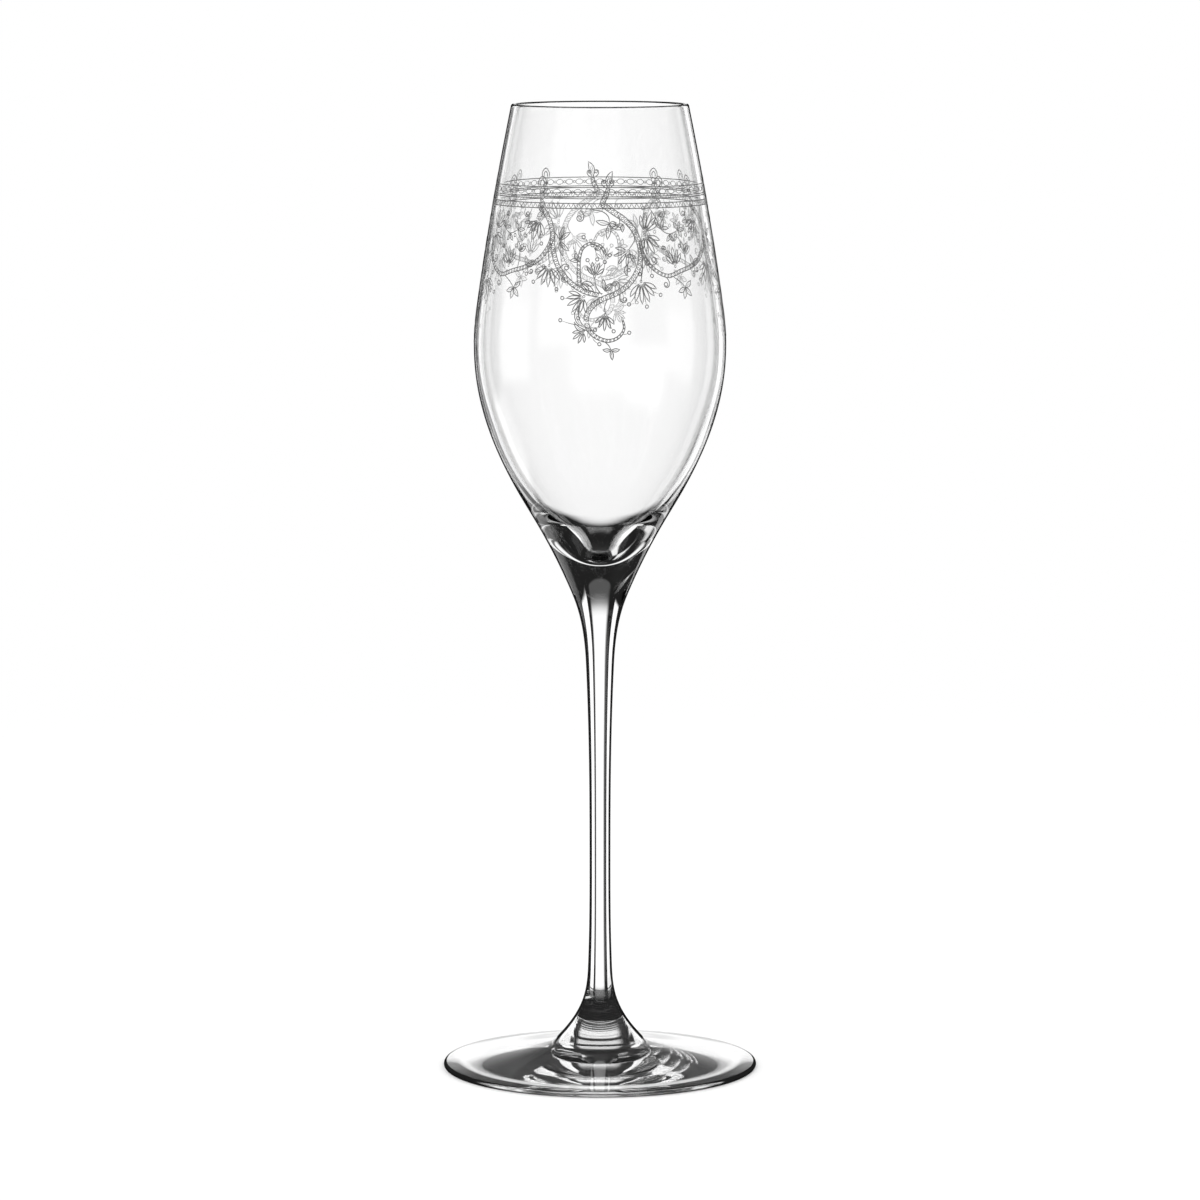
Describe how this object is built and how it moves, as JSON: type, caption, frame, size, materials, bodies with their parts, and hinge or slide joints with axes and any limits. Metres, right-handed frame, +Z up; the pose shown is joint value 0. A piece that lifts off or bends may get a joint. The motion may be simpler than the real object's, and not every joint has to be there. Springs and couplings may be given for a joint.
{
  "type": "champagne flute",
  "caption": "Tall stemmed champagne flute in clear glass: slim tulip bowl with a solid base, drawn stem and thin round foot.",
  "frame": {"origin": "centre of the flat ring that the foot stands on, at table level", "axes": "+Z up along the axis of revolution, +X to the right and -Y towards the viewer of the front"},
  "size_m": [0.0776, 0.0776, 0.238],
  "materials": {
    "bowl_glass": "clear polished crystal",
    "stem_glass": "clear polished crystal",
    "foot_glass": "clear polished crystal",
    "engraving": "matt ground line on clear glass"
  },
  "bodies": {
    "root": {"bowl": "bowl_glass", "stem": "stem_glass", "foot": "foot_glass"}
  },
  "joints": []
}
